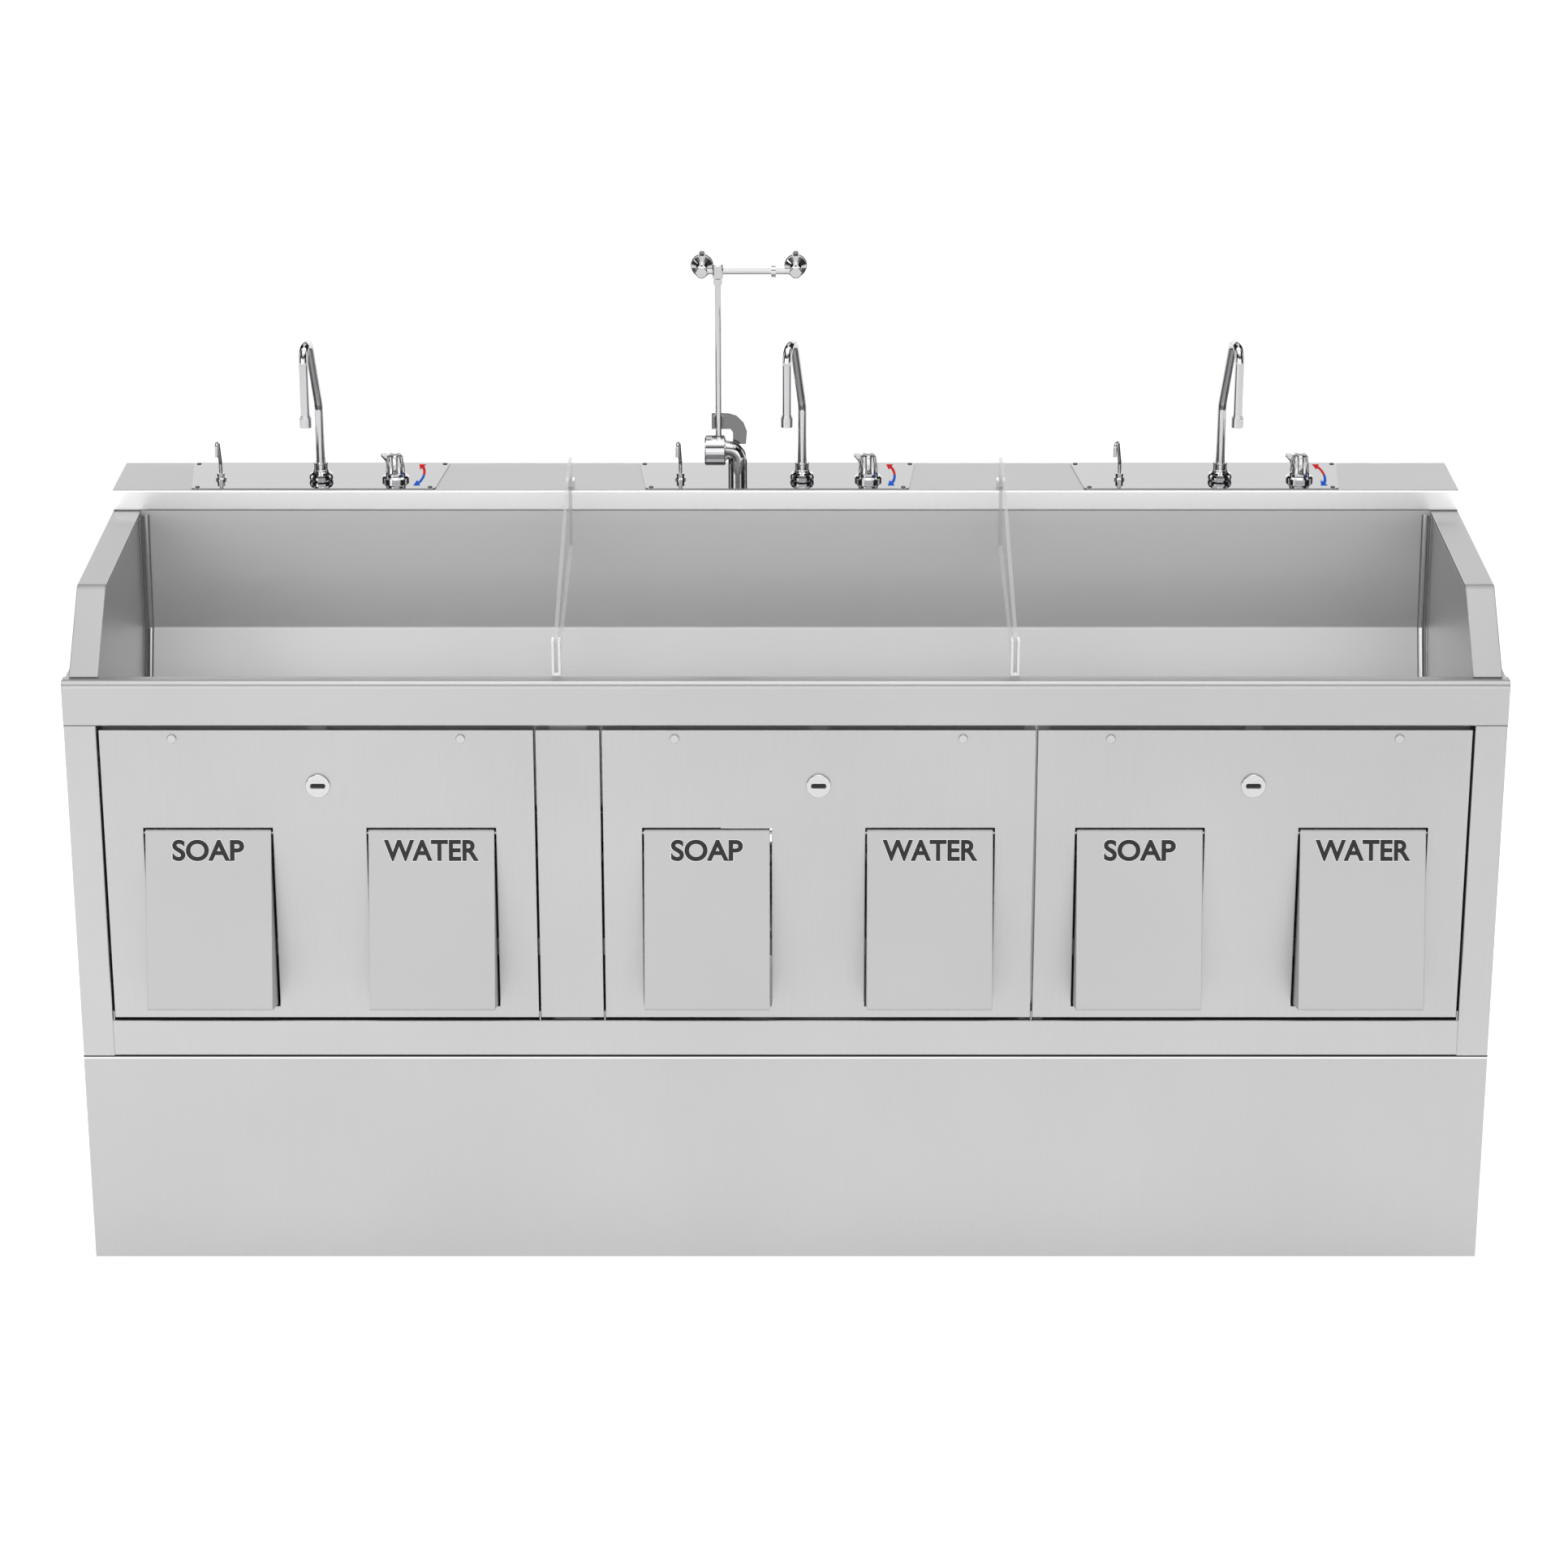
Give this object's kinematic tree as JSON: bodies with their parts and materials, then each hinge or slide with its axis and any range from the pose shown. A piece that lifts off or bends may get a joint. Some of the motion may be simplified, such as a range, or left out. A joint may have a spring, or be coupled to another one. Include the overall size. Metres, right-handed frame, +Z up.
{
  "type": "three station scrub sink",
  "caption": "Wide steel scrub sink: one trough split by clear screens, goosenecks and mixing knobs on a rear deck, knee pedals in tilt-out doors, swing-down eyewash.",
  "frame": {"origin": "centre of the footprint on the floor, footprint taken over the cabinet and the pedals that stand out of it", "axes": "+X to the right as the user faces the sink, +Y to the wall, +Z up"},
  "size_m": [2.286, 0.7893, 1.5465],
  "materials": {
    "panel_steel": "vertical brushed grain, satin",
    "basin_steel": "satin, long grain",
    "deck_steel": "satin, long grain",
    "mirror_plate": "mirror polished",
    "screw_steel": "plain",
    "clear_sheet": "clear sheet with polished edges",
    "clip_steel": "bright",
    "chrome_fitting": "polished chrome plate",
    "frame_steel": "satin",
    "lock_metal": "bright satin",
    "stud_steel": "satin",
    "pedal_steel": "vertical brushed grain, satin",
    "door_steel": "vertical brushed grain, satin",
    "valve_brass": "cast and machined",
    "plunger_steel": "ground",
    "pipe_metal": "drawn tube",
    "bottle_plastic": "milky plastic",
    "cap_plastic": "grey moulded plastic"
  },
  "bodies": {
    "cabinet": {"back_panel": "panel_steel", "base_legs": "frame_steel", "base_panels": "panel_steel", "basin": "basin_steel", "cabinet_floor": "frame_steel", "deck_plates": "mirror_plate", "deck_screws": "screw_steel", "divider_clips": "clip_steel", "dividers": "clear_sheet", "door_pivots": "screw_steel", "drain_strainers": "chrome_fitting", "eyewash_valve": "chrome_fitting", "faucet_bases": "chrome_fitting", "filler_panel": "door_steel", "front_apron": "panel_steel", "front_frame": "frame_steel", "levelling_feet": "screw_steel", "mixing_valves": "chrome_fitting", "rear_deck": "deck_steel", "side_panels": "panel_steel", "side_splashes": "basin_steel", "soap_bottles": "bottle_plastic", "soap_pumps": "valve_brass", "soap_spout_bases": "chrome_fitting", "supply_pipes": "pipe_metal", "waste_pipes": "pipe_metal", "water_valves": "valve_brass"},
    "door_1": {"access_door_1": "door_steel", "door_hardware_1": "stud_steel"},
    "lock_1": {"cam_lock_1": "lock_metal"},
    "soap_pedal_1": {"soap_pedal_1": "pedal_steel"},
    "soap_plunger_1": {"soap_plunger_1": "plunger_steel"},
    "water_pedal_1": {"water_pedal_1": "pedal_steel"},
    "water_plunger_1": {"water_plunger_1": "plunger_steel"},
    "spout_1": {"spout_1": "chrome_fitting"},
    "soap_spout_1": {"soap_spout_1": "chrome_fitting"},
    "knob_1": {"knob_1": "chrome_fitting"},
    "door_2": {"access_door_2": "door_steel", "door_hardware_2": "stud_steel"},
    "lock_2": {"cam_lock_2": "lock_metal"},
    "soap_pedal_2": {"soap_pedal_2": "pedal_steel"},
    "soap_plunger_2": {"soap_plunger_2": "plunger_steel"},
    "water_pedal_2": {"water_pedal_2": "pedal_steel"},
    "water_plunger_2": {"water_plunger_2": "plunger_steel"},
    "spout_2": {"spout_2": "chrome_fitting"},
    "soap_spout_2": {"soap_spout_2": "chrome_fitting"},
    "knob_2": {"knob_2": "chrome_fitting"},
    "door_3": {"access_door_3": "door_steel", "door_hardware_3": "stud_steel"},
    "lock_3": {"cam_lock_3": "lock_metal"},
    "soap_pedal_3": {"soap_pedal_3": "pedal_steel"},
    "soap_plunger_3": {"soap_plunger_3": "plunger_steel"},
    "water_pedal_3": {"water_pedal_3": "pedal_steel"},
    "water_plunger_3": {"water_plunger_3": "plunger_steel"},
    "spout_3": {"spout_3": "chrome_fitting"},
    "soap_spout_3": {"soap_spout_3": "chrome_fitting"},
    "knob_3": {"knob_3": "chrome_fitting"},
    "eyewash_arm": {"eyewash_arm": "chrome_fitting"},
    "cap_left": {"eyewash_cap_left": "cap_plastic"},
    "cap_right": {"eyewash_cap_right": "cap_plastic"}
  },
  "joints": [
    {"name": "door_1_tilt", "type": "hinge", "parent": "cabinet", "child": "door_1", "pos_m": [-0.74383, -0.31, 0.437], "axis": [1, 0, 0], "range_deg": [0, 75]},
    {"name": "lock_1_turn", "type": "hinge", "parent": "door_1", "child": "lock_1", "pos_m": [-0.74383, -0.316, 0.833], "axis": [0, -1, 0], "range_deg": [0, 90]},
    {"name": "soap_pedal_1_press", "type": "hinge", "parent": "door_1", "child": "soap_pedal_1", "pos_m": [-0.922, -0.308, 0.75005], "axis": [1, 0, 0], "range_deg": [0, 7], "stiffness_Nm_per_rad": 20, "springref_deg": -5.73},
    {"name": "soap_plunger_1_travel", "type": "slide", "parent": "cabinet", "child": "soap_plunger_1", "axis": [0, 1, 0], "range_m": [0, 0.023]},
    {"name": "water_pedal_1_press", "type": "hinge", "parent": "door_1", "child": "water_pedal_1", "pos_m": [-0.56567, -0.308, 0.75005], "axis": [1, 0, 0], "range_deg": [0, 7], "stiffness_Nm_per_rad": 20, "springref_deg": -5.73},
    {"name": "water_plunger_1_travel", "type": "slide", "parent": "cabinet", "child": "water_plunger_1", "axis": [0, 1, 0], "range_m": [0, 0.023]},
    {"name": "spout_1_swing", "type": "hinge", "parent": "cabinet", "child": "spout_1", "pos_m": [-0.78667, 0.286, 1.1625], "axis": [0, 0, 1], "range_deg": [-71, 79]},
    {"name": "soap_spout_1_swing", "type": "hinge", "parent": "cabinet", "child": "soap_spout_1", "pos_m": [-0.95667, 0.286, 1.1625], "axis": [0, 0, 1], "range_deg": [-60, 60]},
    {"name": "knob_1_turn", "type": "hinge", "parent": "cabinet", "child": "knob_1", "pos_m": [-0.66067, 0.286, 1.1625], "axis": [0, 0, 1], "range_deg": [-60, 60]},
    {"name": "door_2_tilt", "type": "hinge", "parent": "cabinet", "child": "door_2", "pos_m": [0.0525, -0.31, 0.437], "axis": [1, 0, 0], "range_deg": [0, 75]},
    {"name": "lock_2_turn", "type": "hinge", "parent": "door_2", "child": "lock_2", "pos_m": [0.0525, -0.316, 0.833], "axis": [0, -1, 0], "range_deg": [0, 90]},
    {"name": "soap_pedal_2_press", "type": "hinge", "parent": "door_2", "child": "soap_pedal_2", "pos_m": [-0.12567, -0.308, 0.75005], "axis": [1, 0, 0], "range_deg": [0, 7], "stiffness_Nm_per_rad": 20, "springref_deg": -5.73},
    {"name": "soap_plunger_2_travel", "type": "slide", "parent": "cabinet", "child": "soap_plunger_2", "axis": [0, 1, 0], "range_m": [0, 0.023]},
    {"name": "water_pedal_2_press", "type": "hinge", "parent": "door_2", "child": "water_pedal_2", "pos_m": [0.23067, -0.308, 0.75005], "axis": [1, 0, 0], "range_deg": [0, 7], "stiffness_Nm_per_rad": 20, "springref_deg": -5.73},
    {"name": "water_plunger_2_travel", "type": "slide", "parent": "cabinet", "child": "water_plunger_2", "axis": [0, 1, 0], "range_m": [0, 0.023]},
    {"name": "spout_2_swing", "type": "hinge", "parent": "cabinet", "child": "spout_2", "pos_m": [0.028, 0.286, 1.1625], "axis": [0, 0, 1], "range_deg": [-63, 87]},
    {"name": "soap_spout_2_swing", "type": "hinge", "parent": "cabinet", "child": "soap_spout_2", "pos_m": [-0.178, 0.286, 1.1625], "axis": [0, 0, 1], "range_deg": [-60, 60]},
    {"name": "knob_2_turn", "type": "hinge", "parent": "cabinet", "child": "knob_2", "pos_m": [0.14, 0.286, 1.1625], "axis": [0, 0, 1], "range_deg": [-60, 60]},
    {"name": "door_3_tilt", "type": "hinge", "parent": "cabinet", "child": "door_3", "pos_m": [0.74383, -0.31, 0.437], "axis": [1, 0, 0], "range_deg": [0, 75]},
    {"name": "lock_3_turn", "type": "hinge", "parent": "door_3", "child": "lock_3", "pos_m": [0.74383, -0.316, 0.833], "axis": [0, -1, 0], "range_deg": [0, 90]},
    {"name": "soap_pedal_3_press", "type": "hinge", "parent": "door_3", "child": "soap_pedal_3", "pos_m": [0.56567, -0.308, 0.75005], "axis": [1, 0, 0], "range_deg": [0, 7], "stiffness_Nm_per_rad": 20, "springref_deg": -5.73},
    {"name": "soap_plunger_3_travel", "type": "slide", "parent": "cabinet", "child": "soap_plunger_3", "axis": [0, 1, 0], "range_m": [0, 0.023]},
    {"name": "water_pedal_3_press", "type": "hinge", "parent": "door_3", "child": "water_pedal_3", "pos_m": [0.922, -0.308, 0.75005], "axis": [1, 0, 0], "range_deg": [0, 7], "stiffness_Nm_per_rad": 20, "springref_deg": -5.73},
    {"name": "water_plunger_3_travel", "type": "slide", "parent": "cabinet", "child": "water_plunger_3", "axis": [0, 1, 0], "range_m": [0, 0.023]},
    {"name": "spout_3_swing", "type": "hinge", "parent": "cabinet", "child": "spout_3", "pos_m": [0.73567, 0.286, 1.1625], "axis": [0, 0, 1], "range_deg": [-81, 69]},
    {"name": "soap_spout_3_swing", "type": "hinge", "parent": "cabinet", "child": "soap_spout_3", "pos_m": [0.56567, 0.286, 1.1625], "axis": [0, 0, 1], "range_deg": [-60, 60]},
    {"name": "knob_3_turn", "type": "hinge", "parent": "cabinet", "child": "knob_3", "pos_m": [0.87067, 0.286, 1.1625], "axis": [0, 0, 1], "range_deg": [-60, 60]},
    {"name": "eyewash_swing_down", "type": "hinge", "parent": "cabinet", "child": "eyewash_arm", "pos_m": [-0.101, 0.286, 1.2145], "axis": [1, 0, 0], "range_deg": [0, 90]},
    {"name": "cap_left_lift", "type": "hinge", "parent": "eyewash_arm", "child": "cap_left", "pos_m": [-0.14, 0.328, 1.5435], "axis": [1, 0, 0], "range_deg": [0, 100]},
    {"name": "cap_right_lift", "type": "hinge", "parent": "eyewash_arm", "child": "cap_right", "pos_m": [0.017, 0.328, 1.5435], "axis": [1, 0, 0], "range_deg": [0, 100]}
  ],
  "couplings": [
    {"joint": "soap_plunger_1_travel", "follows": "soap_pedal_1_press", "m_per_rad": 0.185},
    {"joint": "water_plunger_1_travel", "follows": "water_pedal_1_press", "m_per_rad": 0.185},
    {"joint": "soap_plunger_2_travel", "follows": "soap_pedal_2_press", "m_per_rad": 0.185},
    {"joint": "water_plunger_2_travel", "follows": "water_pedal_2_press", "m_per_rad": 0.185},
    {"joint": "soap_plunger_3_travel", "follows": "soap_pedal_3_press", "m_per_rad": 0.185},
    {"joint": "water_plunger_3_travel", "follows": "water_pedal_3_press", "m_per_rad": 0.185}
  ]
}
